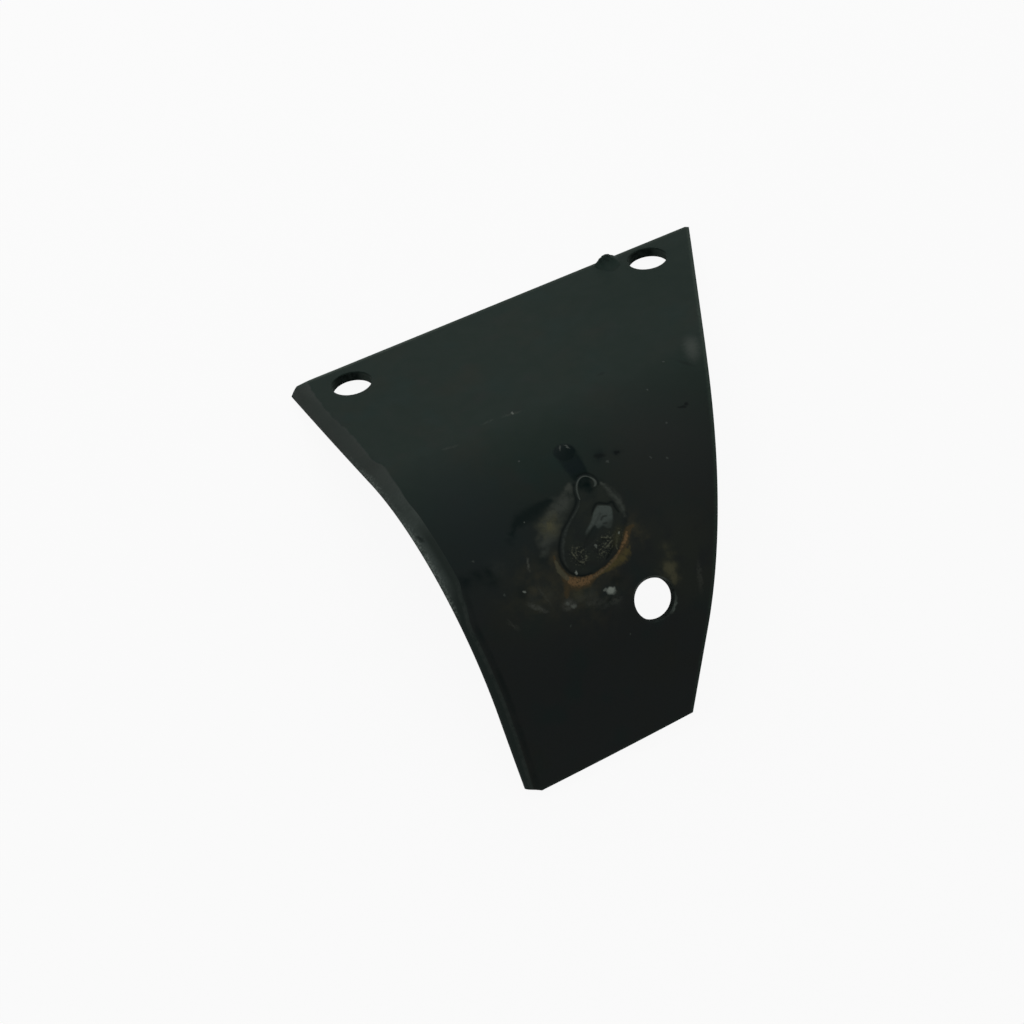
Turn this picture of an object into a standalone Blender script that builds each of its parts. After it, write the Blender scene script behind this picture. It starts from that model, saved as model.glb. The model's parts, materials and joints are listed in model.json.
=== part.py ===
"""Rotary tiller blade.

One piece of steel plate, cut to a tapering outline, ground down along its cutting edge and then
bent round a large radius. Two bolt holes sit in the flat band at the wide end, and a third one is
drilled low on the bend. A dried paint run and a bead of spatter stand a little proud of the plate.
The blade lies as it comes to rest, on its two ends with the outer face of the bend up. +X runs
along the wide end, +Y points at the wide end and +Z up. Lengths are in metres.
"""

from math import acos, atan2, cos, pi, radians, sin

import bmesh
import bpy
from mathutils import Matrix, Vector

# Blank, laid flat with its outer face up. Places on it are given across and down, both from the
# top corner of the cutting edge, with "across" along the axis of the bend.
PLATE = 0.004
BLANK_LENGTH = 0.2152
TOP_WIDTH = 0.1748
TOP_RISE = 0.0014
TIP_WIDTH = 0.0683
TIP_RISE = 0.0038
TIP_BOW = 0.0002
SIDE_BOW = 0.0002
EDGE_LEAN = 0.0070
EDGE_BOW = 0.0014
CORNER_CUT = 0.0012
WORN_CORNER_DOWN = 0.0018
TIP_STATION_SHARES = (0.06, 0.28, 0.52, 0.76, 1.0)
SIDE_STATION_SHARES = (0.25, 0.5, 0.75, 1.0)

# Ground cutting edge: shares of the edge's length, and of the grind's width there
GRIND_WIDTH = 0.0054
EDGE_LAND = 0.0006
GRIND_STATION_SHARES = (
    (0.00, 1.92), (0.05, 1.35), (0.13, 0.85), (0.18, 0.80), (0.23, 1.04), (0.30, 0.91),
    (0.33, 1.22), (0.39, 1.04), (0.44, 0.80), (0.50, 1.11), (0.60, 1.05), (0.67, 0.58),
    (0.77, 0.46), (0.87, 0.54), (1.00, 0.46),
)
BELLY_WIDTH_SHARE = 0.38
BELLY_DEPTH_SHARE = 0.40

# Bend, measured on the outer face
BEND_START = 0.0722
BEND_RADIUS = 0.0811
BEND_TURN = radians(77.1)
BEND_FACETS = 32

# Bolt holes, each square to the outer face where it stands, with a rounded-over rim
HOLE_RADIUS = 0.00775
HOLE_RIM = 0.0005
HOLE_SIDES = 48
LEFT_HOLE = (0.0206, 0.0127)
RIGHT_HOLE_INSET = 0.0242
RIGHT_HOLE_DOWN = 0.0095
RIGHT_HOLE = (TOP_WIDTH - RIGHT_HOLE_INSET, RIGHT_HOLE_DOWN)
LOW_HOLE = (0.0730, 0.1636)

# Dried paint run: a drop with a narrow neck and a broad foot
RUN_NECK = (0.0668, 0.1174)
RUN_NECK_RADIUS = 0.0043
RUN_FOOT = (0.0589, 0.1342)
RUN_FOOT_RADIUS = 0.0130
RUN_HEIGHT = 0.0007
RUN_SLOPE = 0.0012
RUN_SIDES = 40

# Round head of the drip above the run
DRIP = (0.0666, 0.1000)
DRIP_RADIUS = 0.0032
DRIP_HEIGHT = 0.0006
DRIP_SIDES = 20

# Bead of spatter on the wide end, beside the right hole
BEAD_INSET = 0.0366
BEAD = (TOP_WIDTH - BEAD_INSET, 0)
BEAD_LENGTH = 0.0070
BEAD_WIDTH = 0.0038
BEAD_HEIGHT = 0.0018
BEAD_ROOT = 0.0005
BEAD_SIDES = 16
BEAD_RINGS = 8

# Points of the finished mesh closer than this are one point
WELD = 0.000001

PAINT_COLOUR = (0.010, 0.016, 0.014, 1.0)
PAINT_ROUGHNESS = 0.42


def clear_scene():
    """Starts from an empty file."""
    for thing in list(bpy.data.objects):
        bpy.data.objects.remove(thing)


def paint():
    """Dark green-black paint over the steel."""
    material = bpy.data.materials.new("dark_paint")
    material.use_nodes = True
    shader = material.node_tree.nodes["Principled BSDF"]
    shader.inputs["Base Color"].default_value = PAINT_COLOUR
    shader.inputs["Roughness"].default_value = PAINT_ROUGHNESS
    shader.inputs["Metallic"].default_value = 0.0
    return material


# The bend


def turn_at(down):
    """Angle that the plate has turned through, this far down the blank."""
    return min(max(down - BEND_START, 0), BEND_RADIUS * BEND_TURN) / BEND_RADIUS


def side_view(down, depth):
    """Reach and height of a point of the bent blade, with its wide end still level."""
    turn = turn_at(down)
    tail = max(down - BEND_START - BEND_RADIUS * BEND_TURN, 0)
    reach = min(down, BEND_START) + BEND_RADIUS * sin(turn) + tail * cos(turn)
    drop = BEND_RADIUS * (1 - cos(turn)) + tail * sin(turn)
    return Vector((reach - depth * sin(turn), -drop - depth * cos(turn)))


def rest_tilt():
    """Angle that brings the inner rims of both ends down to one level."""
    chord = side_view(BLANK_LENGTH, PLATE) - side_view(-TOP_RISE, PLATE)
    return atan2(-chord.y, chord.x)


def on_blade(across, down, depth):
    """Place on the resting blade of a point of the flat blank."""
    point = side_view(down, depth) - side_view(0, PLATE)
    point.rotate(Matrix.Rotation(rest_tilt(), 2))
    return Vector((across, -point.x, point.y))


def square_to_face(across, down):
    """Matrix at a point of the outer face, with its X across and its Z standing off the face."""
    lean = turn_at(down) - rest_tilt()
    return Matrix.Translation(on_blade(across, down, 0)) @ Matrix.Rotation(lean, 4, "X")


def bend(mesh):
    """Cuts a flat mesh along the facet lines of the bend and lays each point on the blade."""
    for line in range(BEND_FACETS + 1):
        down = BEND_START + BEND_RADIUS * BEND_TURN * line / BEND_FACETS
        everything = mesh.verts[:] + mesh.edges[:] + mesh.faces[:]
        bmesh.ops.bisect_plane(mesh, geom=everything, plane_co=(0, -down, 0), plane_no=(0, 1, 0))
    for vert in mesh.verts:
        vert.co = on_blade(vert.co.x, -vert.co.y, -vert.co.z)
    return mesh


# Solids


def loft(rings):
    """Closed solid through rings of points, one ring to a level."""
    mesh = bmesh.new()
    levels = [[mesh.verts.new(point) for point in ring] for ring in rings]
    for lower, upper in zip(levels, levels[1:]):
        for side in range(len(lower)):
            mesh.faces.new((lower[side - 1], lower[side], upper[side], upper[side - 1]))
    mesh.faces.new(levels[0])
    mesh.faces.new(levels[-1])
    bmesh.ops.recalc_face_normals(mesh, faces=mesh.faces[:])
    return mesh


def place(name, mesh, material=None):
    """Puts a mesh into the scene as an object."""
    data = bpy.data.meshes.new(name)
    mesh.to_mesh(data)
    mesh.free()
    thing = bpy.data.objects.new(name, data)
    bpy.context.scene.collection.objects.link(thing)
    if material:
        data.materials.append(material)
    return thing


def helper(name, mesh):
    """Puts a mesh into the scene as a guide for a Boolean, left out of renders."""
    thing = place(name, mesh)
    thing.hide_render = True
    thing.display_type = "WIRE"
    return thing


def combine(body, tool, operation):
    """Joins a helper to the body, or cuts it away."""
    modifier = body.modifiers.new(tool.name, "BOOLEAN")
    modifier.operation = operation
    modifier.solver = "EXACT"
    modifier.object = tool


def circle(centre, radius, height, sides):
    """Ring of points at one height."""
    angles = [2 * pi * side / sides for side in range(sides)]
    return [Vector((centre[0] + radius * cos(a), -centre[1] + radius * sin(a), height)) for a in angles]


# The blank


def bow(share):
    """Share of a bow's height, from none at both ends to all of it in the middle."""
    return 4 * share * (1 - share)


def edge_point(share):
    """Across and down of a place on the cutting edge."""
    return Vector((EDGE_LEAN * share - EDGE_BOW * bow(share), (BLANK_LENGTH - WORN_CORNER_DOWN) * share))


def tip_point(share):
    """Across and down of a place on the slanting tip, from the cutting edge's side."""
    return Vector((EDGE_LEAN + TIP_WIDTH * share, BLANK_LENGTH - TIP_RISE * share + TIP_BOW * bow(share)))


def side_point(share):
    """Across and down of a place on the tapering side, from the tip up."""
    along = tip_point(1).lerp(Vector((TOP_WIDTH, CORNER_CUT - TOP_RISE)), share)
    return along + Vector((SIDE_BOW * bow(share), 0))


def outline(depth, ground_share):
    """The blank's outline at a depth, where this share of the grind's width is gone."""
    points = []
    for share, width in GRIND_STATION_SHARES:
        points.append(edge_point(share) + Vector((GRIND_WIDTH * width * ground_share, 0)))
    points += [tip_point(share) for share in TIP_STATION_SHARES]
    points += [side_point(share) for share in SIDE_STATION_SHARES]
    points.append(Vector((TOP_WIDTH - CORNER_CUT, -TOP_RISE)))
    return [Vector((point.x, -point.y, -depth)) for point in points]


def blank():
    """Flat plate: a thin land at the cutting edge, the grind over its belly, and the outer face."""
    return loft([
        outline(PLATE, 0),
        outline(PLATE - EDGE_LAND, 0),
        outline(PLATE * BELLY_DEPTH_SHARE, BELLY_WIDTH_SHARE),
        outline(0, 1),
    ])


# Holes, paint run and bead


def bore(centre):
    """Cutter for one bolt hole, standing in the bent plate."""
    cutter = loft([
        circle((0, 0), HOLE_RADIUS, -2 * PLATE, HOLE_SIDES),
        circle((0, 0), HOLE_RADIUS, -HOLE_RIM, HOLE_SIDES),
        circle((0, 0), HOLE_RADIUS + HOLE_RIM + PLATE, PLATE, HOLE_SIDES),
    ])
    cutter.transform(square_to_face(*centre))
    return cutter


def drop_outline(grow, height):
    """Outline of the run: an arc round its foot, an arc round its neck, and straight flanks."""
    foot = Vector((RUN_FOOT[0], -RUN_FOOT[1]))
    neck = Vector((RUN_NECK[0], -RUN_NECK[1]))
    axis = neck - foot
    heading = atan2(axis.y, axis.x)
    flank = acos((RUN_FOOT_RADIUS - RUN_NECK_RADIUS) / axis.length)
    half = RUN_SIDES // 2
    points = []
    for step in range(half):
        angle = heading + flank + 2 * (pi - flank) * step / (half - 1)
        radius = RUN_FOOT_RADIUS + grow
        points.append(Vector((foot.x + radius * cos(angle), foot.y + radius * sin(angle), height)))
    for step in range(half):
        angle = heading - flank + 2 * flank * step / (half - 1)
        radius = RUN_NECK_RADIUS + grow
        points.append(Vector((neck.x + radius * cos(angle), neck.y + radius * sin(angle), height)))
    return points


def paint_run():
    """Low pad of dried paint, rooted in the plate, with sloping flanks."""
    return bend(loft([
        drop_outline(RUN_SLOPE, -PLATE / 2),
        drop_outline(0, RUN_HEIGHT),
    ]))


def drip_head():
    """Low dome at the head of the drip."""
    return bend(loft([
        circle(DRIP, DRIP_RADIUS, -PLATE / 2, DRIP_SIDES),
        circle(DRIP, DRIP_RADIUS * cos(pi / 8), DRIP_HEIGHT * sin(pi / 8), DRIP_SIDES),
        circle(DRIP, DRIP_RADIUS * cos(pi / 4), DRIP_HEIGHT * sin(pi / 4), DRIP_SIDES),
        circle(DRIP, DRIP_RADIUS * cos(3 * pi / 8), DRIP_HEIGHT * sin(3 * pi / 8), DRIP_SIDES),
    ]))


def spatter_bead():
    """Blunt bead sitting over the outer rim of the wide end."""
    bead = bmesh.new()
    bmesh.ops.create_uvsphere(bead, u_segments=BEAD_SIDES, v_segments=BEAD_RINGS, radius=1)
    half_size = Vector((BEAD_LENGTH / 2, BEAD_WIDTH / 2, BEAD_HEIGHT + BEAD_ROOT))
    bmesh.ops.scale(bead, verts=bead.verts, vec=half_size)
    bead.transform(square_to_face(*BEAD) @ Matrix.Translation((0, 0, -BEAD_ROOT)))
    return bead


def finish(blade):
    """Applies the Booleans and centres the blade on its own bounds, level with the floor."""
    bpy.context.view_layer.update()
    mesh = bmesh.new()
    mesh.from_object(blade, bpy.context.evaluated_depsgraph_get())
    bmesh.ops.remove_doubles(mesh, verts=mesh.verts, dist=WELD)
    places = [vert.co for vert in mesh.verts]
    middle_x = (min(co.x for co in places) + max(co.x for co in places)) / 2
    middle_y = (min(co.y for co in places) + max(co.y for co in places)) / 2
    floor = min(co.z for co in places)
    bmesh.ops.translate(mesh, verts=mesh.verts, vec=(-middle_x, -middle_y, -floor))
    blade.modifiers.clear()
    mesh.to_mesh(blade.data)
    mesh.free()


def build():
    """Makes the blade."""
    clear_scene()
    blade = place("blade", bend(blank()), paint())
    combine(blade, helper("paint_run", paint_run()), "UNION")
    combine(blade, helper("drip_head", drip_head()), "UNION")
    combine(blade, helper("spatter_bead", spatter_bead()), "UNION")
    combine(blade, helper("left_bore", bore(LEFT_HOLE)), "DIFFERENCE")
    combine(blade, helper("right_bore", bore(RIGHT_HOLE)), "DIFFERENCE")
    combine(blade, helper("low_bore", bore(LOW_HOLE)), "DIFFERENCE")
    finish(blade)


build()
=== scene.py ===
# %% [markdown]
# # A rotary tiller blade
# The blade is one piece of steel plate. It was cut to a tapering outline, ground along its cutting
# edge, bent round a large radius and dipped in dark paint that has since rusted and worn.
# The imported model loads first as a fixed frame, so that everything here lands where it says.

# %% Load the frame
import json
from collections import namedtuple
from math import atan2, cos, exp, pi, radians, sin, sqrt

import bmesh
import bpy
from mathutils import Matrix, Quaternion, Vector, noise
from mathutils.geometry import interpolate_bezier

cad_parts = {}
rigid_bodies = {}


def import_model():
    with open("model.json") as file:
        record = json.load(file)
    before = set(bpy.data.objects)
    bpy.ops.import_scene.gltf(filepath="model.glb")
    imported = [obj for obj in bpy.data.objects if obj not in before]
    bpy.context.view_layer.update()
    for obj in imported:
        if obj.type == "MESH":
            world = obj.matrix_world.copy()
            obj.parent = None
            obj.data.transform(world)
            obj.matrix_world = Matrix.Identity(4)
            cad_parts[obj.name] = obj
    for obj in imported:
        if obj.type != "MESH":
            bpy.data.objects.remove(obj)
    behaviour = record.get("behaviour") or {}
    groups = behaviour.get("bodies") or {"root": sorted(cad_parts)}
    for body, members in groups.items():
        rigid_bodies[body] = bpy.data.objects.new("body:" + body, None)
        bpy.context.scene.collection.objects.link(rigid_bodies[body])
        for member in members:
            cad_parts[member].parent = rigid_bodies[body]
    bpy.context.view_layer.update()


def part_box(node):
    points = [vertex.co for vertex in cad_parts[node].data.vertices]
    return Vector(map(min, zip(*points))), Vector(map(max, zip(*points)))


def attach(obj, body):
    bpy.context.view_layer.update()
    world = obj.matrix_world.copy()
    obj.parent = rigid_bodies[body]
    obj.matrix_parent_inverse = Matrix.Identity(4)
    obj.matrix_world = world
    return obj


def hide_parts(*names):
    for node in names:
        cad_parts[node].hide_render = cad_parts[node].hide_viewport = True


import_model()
scene = bpy.context.scene

# %% [markdown]
# ## Sizes of the blank
# Before bending, the blade is a flat blank. Each place on it is given by how far it lies across
# the blank and how far down it, both from the top corner of the cutting edge, in metres. Modelling
# the blank flat and bending it last keeps every hole, stain and scratch easy to place.

# %% Sizes of the blank
PLATE = 0.004
BLANK_LENGTH = 0.2152
TOP_WIDTH = 0.1748
TOP_RISE = 0.0014
TIP_WIDTH = 0.0683
TIP_RISE = 0.0038
TIP_BOW = 0.0002
SIDE_BOW = 0.0002
EDGE_LEAN = 0.0070
EDGE_BOW = 0.0014
CORNER_CUT = 0.0012
WORN_CORNER_DOWN = 0.0018
WORN_CORNER_SHARE = 0.06
HOLE_RADIUS = 0.00775
LEFT_HOLE = Vector((0.0206, 0.0127))
RIGHT_HOLE = Vector((0.1506, 0.0095))
LOW_HOLE = Vector((0.0730, 0.1636))


def bow(share):
    """Share of a bow's height, from none at both ends to all of it in the middle."""
    return 4 * share * (1 - share)


def tip_place(share):
    """Place on the straight line of the tip, from the cutting edge's side."""
    return Vector((EDGE_LEAN + TIP_WIDTH * share, BLANK_LENGTH - TIP_RISE * share))


edge_top = Vector((0, 0))
edge_foot = Vector((EDGE_LEAN, BLANK_LENGTH - WORN_CORNER_DOWN))
tip_start = tip_place(WORN_CORNER_SHARE)
tip_end = tip_place(1)
side_top = Vector((TOP_WIDTH, CORNER_CUT - TOP_RISE))
wide_end = Vector((TOP_WIDTH - CORNER_CUT, -TOP_RISE))
corners = [edge_top, edge_foot, tip_start, tip_end, side_top, wide_end]
print("corners of the blank:", len(corners))

# %% [markdown]
# ## The bend
# The lower part of the blank curls round a radius of 81 mm, so that the blade throws the soil
# sideways. One function gives the place of any point of the flat blank on the finished blade: it
# walks down the curve, steps in by the depth below the outer face, and then tilts the whole blade
# until it lies on its two ends. A modifier could bend the plate too, but a formula repeats the
# frame's own bend exactly.

# %% The bend as a formula
BEND_START = 0.0722
BEND_RADIUS = 0.0811
BEND_TURN = radians(77.1)


def turn_at(down):
    """Angle that the plate has turned through, this far down the blank."""
    return min(max(down - BEND_START, 0), BEND_RADIUS * BEND_TURN) / BEND_RADIUS


def side_view(down, depth):
    """Reach and height of a point of the bent blade, with its wide end still level."""
    turn = turn_at(down)
    tail = max(down - BEND_START - BEND_RADIUS * BEND_TURN, 0)
    reach = min(down, BEND_START) + BEND_RADIUS * sin(turn) + tail * cos(turn)
    drop = BEND_RADIUS * (1 - cos(turn)) + tail * sin(turn)
    return Vector((reach - depth * sin(turn), -drop - depth * cos(turn)))


chord = side_view(BLANK_LENGTH, PLATE) - side_view(-TOP_RISE, PLATE)
REST_TILT = atan2(-chord.y, chord.x)


def tilted(down, depth):
    """The same point, once the blade lies on its two ends."""
    point = side_view(down, depth) - side_view(0, PLATE)
    point.rotate(Matrix.Rotation(REST_TILT, 2))
    return point


cad_low, cad_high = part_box("blade")
foot_reach = tilted(tip_start.y, 0).x
floor_drop = tilted(-TOP_RISE, PLATE).y


def on_blade(across, down, depth):
    """Place of a point of the flat blank on the resting blade, in the frame."""
    point = tilted(down, depth)
    return Vector((cad_low.x + across, cad_low.y + foot_reach - point.x, point.y - floor_drop))


far_corner = on_blade(TOP_WIDTH - CORNER_CUT, -TOP_RISE, 0)
print("wide end in the frame, mm:", [round(value * 1000, 2) for value in far_corner])

# %% [markdown]
# ## Cutting the blank
# The blank starts as one six-cornered face. Two narrow insets round its border will carry the
# rounded rim that a sheared plate has, and planes then slice it into a grid, because a flat face
# has to have points to be able to bend.

# %% Outline and grid
RIM_ROUND = 0.0001
GRID_ACROSS = 0.0020
GRID_DOWN = 0.0015
ARC = 1 - sqrt(0.5)


def flat(place, depth=0):
    """Point of the flat blank as a vector, with down along -Y and depth along -Z."""
    return Vector((place.x, -place.y, -depth))


def slice_mesh(mesh, place, normal):
    """Cuts every face of a mesh that a plane crosses."""
    everything = mesh.verts[:] + mesh.edges[:] + mesh.faces[:]
    bmesh.ops.bisect_plane(mesh, geom=everything, plane_co=place, plane_no=normal)


def of_kind(parts, kind):
    """The points or the edges among what an operator has made."""
    return [part for part in parts if isinstance(part, kind)]


plate = bmesh.new()
middle = plate.faces.new([plate.verts.new(flat(corner)) for corner in corners])
bmesh.ops.inset_region(plate, faces=[middle], thickness=RIM_ROUND * ARC, use_even_offset=True)
bmesh.ops.inset_region(plate, faces=[middle], thickness=RIM_ROUND * (1 - ARC), use_even_offset=True)
for line in range(1, round(TOP_WIDTH / GRID_ACROSS)):
    slice_mesh(plate, (line * GRID_ACROSS, 0, 0), (1, 0, 0))
for line in range(round(BLANK_LENGTH / GRID_DOWN)):
    slice_mesh(plate, (0, -line * GRID_DOWN, 0), (0, 1, 0))
print("faces in the sliced blank:", len(plate.faces))

# %% [markdown]
# ## Bolt holes
# Two holes sit in the wide end and one low on the bend. Around each, the grid is cleared, a circle
# is put in, and the gap is filled with triangles. Extruding the circle inwards in small steps
# gives the rings that will roll over into the hole. A Boolean would be quicker to write, but it
# leaves no rings to round.

# %% Bolt holes
HOLE_SIDES = 96
HOLE_RIMS = ((LEFT_HOLE, 0.0003), (RIGHT_HOLE, 0.0003), (LOW_HOLE, 0.0009))
HOLE_CLEARING = 0.0013
RIM_STEPS = 4


def pierce(mesh, centre, rim):
    """Opens a round hole in the flat blank, with rings round it for its rim."""
    middle = flat(centre)
    reach = HOLE_RADIUS + rim
    settled = {edge for edge in mesh.edges if edge.is_boundary}
    crowded = [face for face in mesh.faces
               if (face.calc_center_median() - middle).length < reach + HOLE_CLEARING]
    bmesh.ops.delete(mesh, geom=crowded, context="FACES")
    border = [edge for edge in mesh.edges if edge.is_boundary and edge not in settled]
    circle = bmesh.ops.create_circle(
        mesh, segments=HOLE_SIDES, radius=reach, matrix=Matrix.Translation(middle))
    ring = list({edge for vert in circle["verts"] for edge in vert.link_edges})
    bmesh.ops.triangle_fill(mesh, use_beauty=True, edges=border + ring, normal=(0, 0, 1))
    wide = reach
    for step in range(1, RIM_STEPS + 1):
        narrow = reach - rim * sin(pi / 2 * step / RIM_STEPS)
        made = bmesh.ops.extrude_edge_only(mesh, edges=ring)["geom"]
        ring = of_kind(made, bmesh.types.BMEdge)
        points = of_kind(made, bmesh.types.BMVert)
        size = (narrow / wide, narrow / wide, 1)
        bmesh.ops.scale(mesh, verts=points, vec=size, space=Matrix.Translation(-middle))
        wide = narrow


for centre, rim in HOLE_RIMS:
    pierce(plate, centre, rim)
print("open borders round the blank:", sum(edge.is_boundary for edge in plate.edges))

# %% [markdown]
# ## From sheet to plate
# Extruding the whole sheet once gives it its back and all its walls, those of the holes included.
# Level cuts then divide the walls, so that the grind can swell and the rims can roll.

# %% Thickness
WALL_SHARES = (0.12, 0.25, 0.40, 0.55, 0.70, 0.85)

made = bmesh.ops.extrude_face_region(plate, geom=plate.faces[:])["geom"]
lowered = of_kind(made, bmesh.types.BMVert)
bmesh.ops.translate(plate, verts=lowered, vec=(0, 0, -PLATE))
for share in WALL_SHARES:
    slice_mesh(plate, (0, 0, -PLATE * share), (0, 0, 1))
bmesh.ops.recalc_face_normals(plate, faces=plate.faces[:])
print("faces in the plate:", len(plate.faces))
print("edges left open:", sum(not edge.is_manifold for edge in plate.edges))

# %% [markdown]
# ## A finer patch for the paint run
# The dried paint run is all thin threads and wrinkles, far finer than the grid. Only the part of
# the outer face that it covers is divided further, which keeps the rest of the blade light.

# %% Divide the patch
PATCH_LOW = Vector((0.0360, 0.0920))
PATCH_HIGH = Vector((0.0880, 0.1620))
PATCH_CUTS = 4


def in_patch(face):
    """True for a face of the outer side that the paint run may reach."""
    centre = face.calc_center_median()
    level = abs(centre.z) < RIM_ROUND * ARC
    return (level and PATCH_LOW.x < centre.x < PATCH_HIGH.x
            and PATCH_LOW.y < -centre.y < PATCH_HIGH.y)


many_sided = [face for face in plate.faces if in_patch(face) and len(face.verts) > 4]
bmesh.ops.triangulate(plate, faces=many_sided)
fine_edges = {edge for face in plate.faces if in_patch(face) for edge in face.edges}
near_hole = {edge for edge in fine_edges
             if (edge.verts[0].co - flat(LOW_HOLE)).length < HOLE_RADIUS + 2 * GRID_ACROSS}
bmesh.ops.subdivide_edges(
    plate, edges=list(fine_edges - near_hole), cuts=PATCH_CUTS, use_grid_fill=True)
print("faces with the fine patch:", len(plate.faces))

# %% [markdown]
# ## Relief of the outer face
# The dried run stands a little proud of the plate: a round head, a tail, a thin skin inside a
# raised border, two burst bubbles and some crumbs. Sculpting it by hand would not repeat, so each
# form is a small height over its distance from a drawn line or spot.

# %% Lines and distances
MM = 0.001
CURVE_STEPS = 4
LINE_REACH = 3.0
FAR = 99.0
RUN_FAR = 9.0
Line = namedtuple("Line", "points low high")


def drawn(*stations):
    """A smooth line through stations of across, down and half width, all in millimetres."""
    knots = [Vector((*station, 1.0)) if len(station) == 2 else Vector(station) for station in stations]
    ends = [knots[0], *knots, knots[-1]]
    points = [knots[0]]
    for before, first, second, after in zip(ends, ends[1:], ends[2:], ends[3:]):
        first_handle = first + (second - before) / 6
        second_handle = second - (after - first) / 6
        points += interpolate_bezier(first, first_handle, second_handle, second, CURVE_STEPS)[1:]
    reach = LINE_REACH + 1.5 * max(point.z for point in points)
    low = Vector((min(point.x for point in points) - reach, min(point.y for point in points) - reach))
    high = Vector((max(point.x for point in points) + reach, max(point.y for point in points) + reach))
    return Line(points, low, high)


def beside(place, line):
    """Distance from a place to a drawn line, and the line's half width there."""
    if place.x < line.low.x or place.x > line.high.x or place.y < line.low.y or place.y > line.high.y:
        return FAR, 1.0
    nearest, width = FAR * FAR, 1.0
    for first, second in zip(line.points, line.points[1:]):
        run_x, run_y = second.x - first.x, second.y - first.y
        off_x, off_y = place.x - first.x, place.y - first.y
        length = run_x * run_x + run_y * run_y
        share = min(max((off_x * run_x + off_y * run_y) / length, 0), 1) if length else 0
        gap_x, gap_y = off_x - run_x * share, off_y - run_y * share
        gap = gap_x * gap_x + gap_y * gap_y
        if gap < nearest:
            nearest, width = gap, first.z + (second.z - first.z) * share
    return sqrt(nearest), width


def hump(gap, width):
    """A rounded form: 1 at its middle, falling off over its width."""
    return exp(-(gap / width) ** 2)


def smooth_step(value, low, high):
    """Rises from 0 to 1 between two values, without a kink."""
    share = min(max((value - low) / (high - low), 0), 1)
    return share * share * (3 - 2 * share)


def ridge(place, line):
    """Rounded form along a drawn line: 1 on it, falling off over its half width."""
    return hump(*beside(place, line))


def ribbon(place, line, soft=0.35, wobble=0.0):
    """Flat form along a drawn line: 1 inside its half width, with a soft border."""
    gap, width = beside(place, line)
    return 1 - smooth_step((gap + wobble) / width, 1 - soft, 1 + soft)


print("smooth lines pass through their stations in", CURVE_STEPS, "steps each")

# %% [markdown]
# ## Lines of the dried run
# The run hardened from its rim inwards. Its border is a raised thread that ends in a hook at the
# top, its skin has shrunk into folds, and two bubbles have burst near its foot. Each of them is a
# line drawn through the fewest stations that keep its bends.

# %% Lines of the run
RUN_BORDER = drawn(
    (71.8, 113.8), (70.7, 112.0), (68.6, 111.2), (65.9, 111.7), (63.6, 113.4), (62.1, 116.3),
    (61.1, 119.3), (59.5, 121.6), (56.7, 123.7), (54.2, 125.5), (51.6, 127.3), (49.5, 129.6),
    (47.5, 132.4), (45.8, 135.3), (45.1, 138.2), (45.5, 140.7), (46.9, 143.0), (49.2, 145.0),
    (52.4, 146.1), (55.7, 146.1), (59.1, 145.6), (62.5, 144.5), (65.7, 142.9), (68.3, 140.8),
    (70.4, 138.5), (72.5, 135.8), (74.5, 133.1), (75.9, 129.6), (75.9, 125.9), (75.2, 122.2),
    (73.9, 118.4), (72.9, 115.5), (71.8, 113.8))
HOOK = drawn(
    (69.4, 117.2, 0.2), (70.2, 116.9, 0.47), (70.8, 115.8, 0.58), (70.6, 114.5, 0.45),
    (69.7, 113.2, 0.24), (68.2, 112.1, 0.26), (66.5, 112.2, 0.3), (64.8, 113.3, 0.36),
    (63.5, 115.2, 0.36), (62.8, 117.2, 0.34), (62.4, 119.7, 0.28))
LEFT_FLANK = drawn(
    (62.4, 119.7, 0.3), (60.6, 122.1, 0.45), (57.5, 124.3, 0.55), (54.8, 126.2, 0.7),
    (52.3, 128.4, 0.85), (50.3, 130.8, 0.95), (48.6, 133.5, 0.95), (47.5, 136.1, 0.8),
    (46.9, 138.6, 0.6), (47.2, 140.8, 0.35))
RIGHT_FLANK = drawn(
    (72.7, 117.1, 0.45), (73.7, 119.4, 0.95), (74.4, 121.9, 1.15), (75.0, 124.5, 1.15),
    (75.3, 127.0, 0.9), (75.2, 129.4, 0.75), (74.5, 131.6, 0.5))
RIGHT_INNER = drawn((73.6, 124.4, 0.3), (74.0, 126.7, 0.38), (74.2, 129.7, 0.28))
FLANK_CREASE = drawn(
    (63.4, 113.3, 0.39), (61.9, 116.2, 0.39), (61.2, 119.4, 0.51), (59.1, 121.8, 0.47),
    (56.0, 124.3, 0.47), (53.5, 126.1, 0.43), (51.0, 127.9, 0.43), (49.0, 130.3, 0.43),
    (47.2, 133.1, 0.43), (46.0, 136.2, 0.39), (46.0, 138.9, 0.39), (46.7, 141.6, 0.43),
    (48.5, 143.9, 0.43), (51.4, 145.5, 0.39), (54.6, 145.8, 0.31))
HOOK_CREASE = drawn((65.8, 111.2, 0.39), (68.7, 111.0, 0.39), (70.9, 112.4, 0.47),
                    (71.8, 115.2, 0.43), (71.3, 117.0, 0.39))
SKIN_CREASE = drawn(
    (63.7, 126.8, 0.27), (65.0, 125.1, 0.37), (66.8, 123.6, 0.42), (68.6, 123.7, 0.42),
    (70.8, 125.1, 0.42), (72.8, 125.1, 0.47), (72.8, 127.0, 0.38), (73.2, 129.5, 0.3))
SKIN_CURL = drawn((68.5, 129.0, 0.3), (67.0, 128.8, 0.42), (66.0, 129.6, 0.38))
SKIN_FOLD = drawn((66.2, 131.2, 0.3), (67.4, 131.4, 0.34))
RUN_SEAM = drawn((67.2, 138.8, 0.25), (65.5, 140.2, 0.63), (63.6, 141.6, 0.63), (61.7, 143.2, 0.31))
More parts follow.
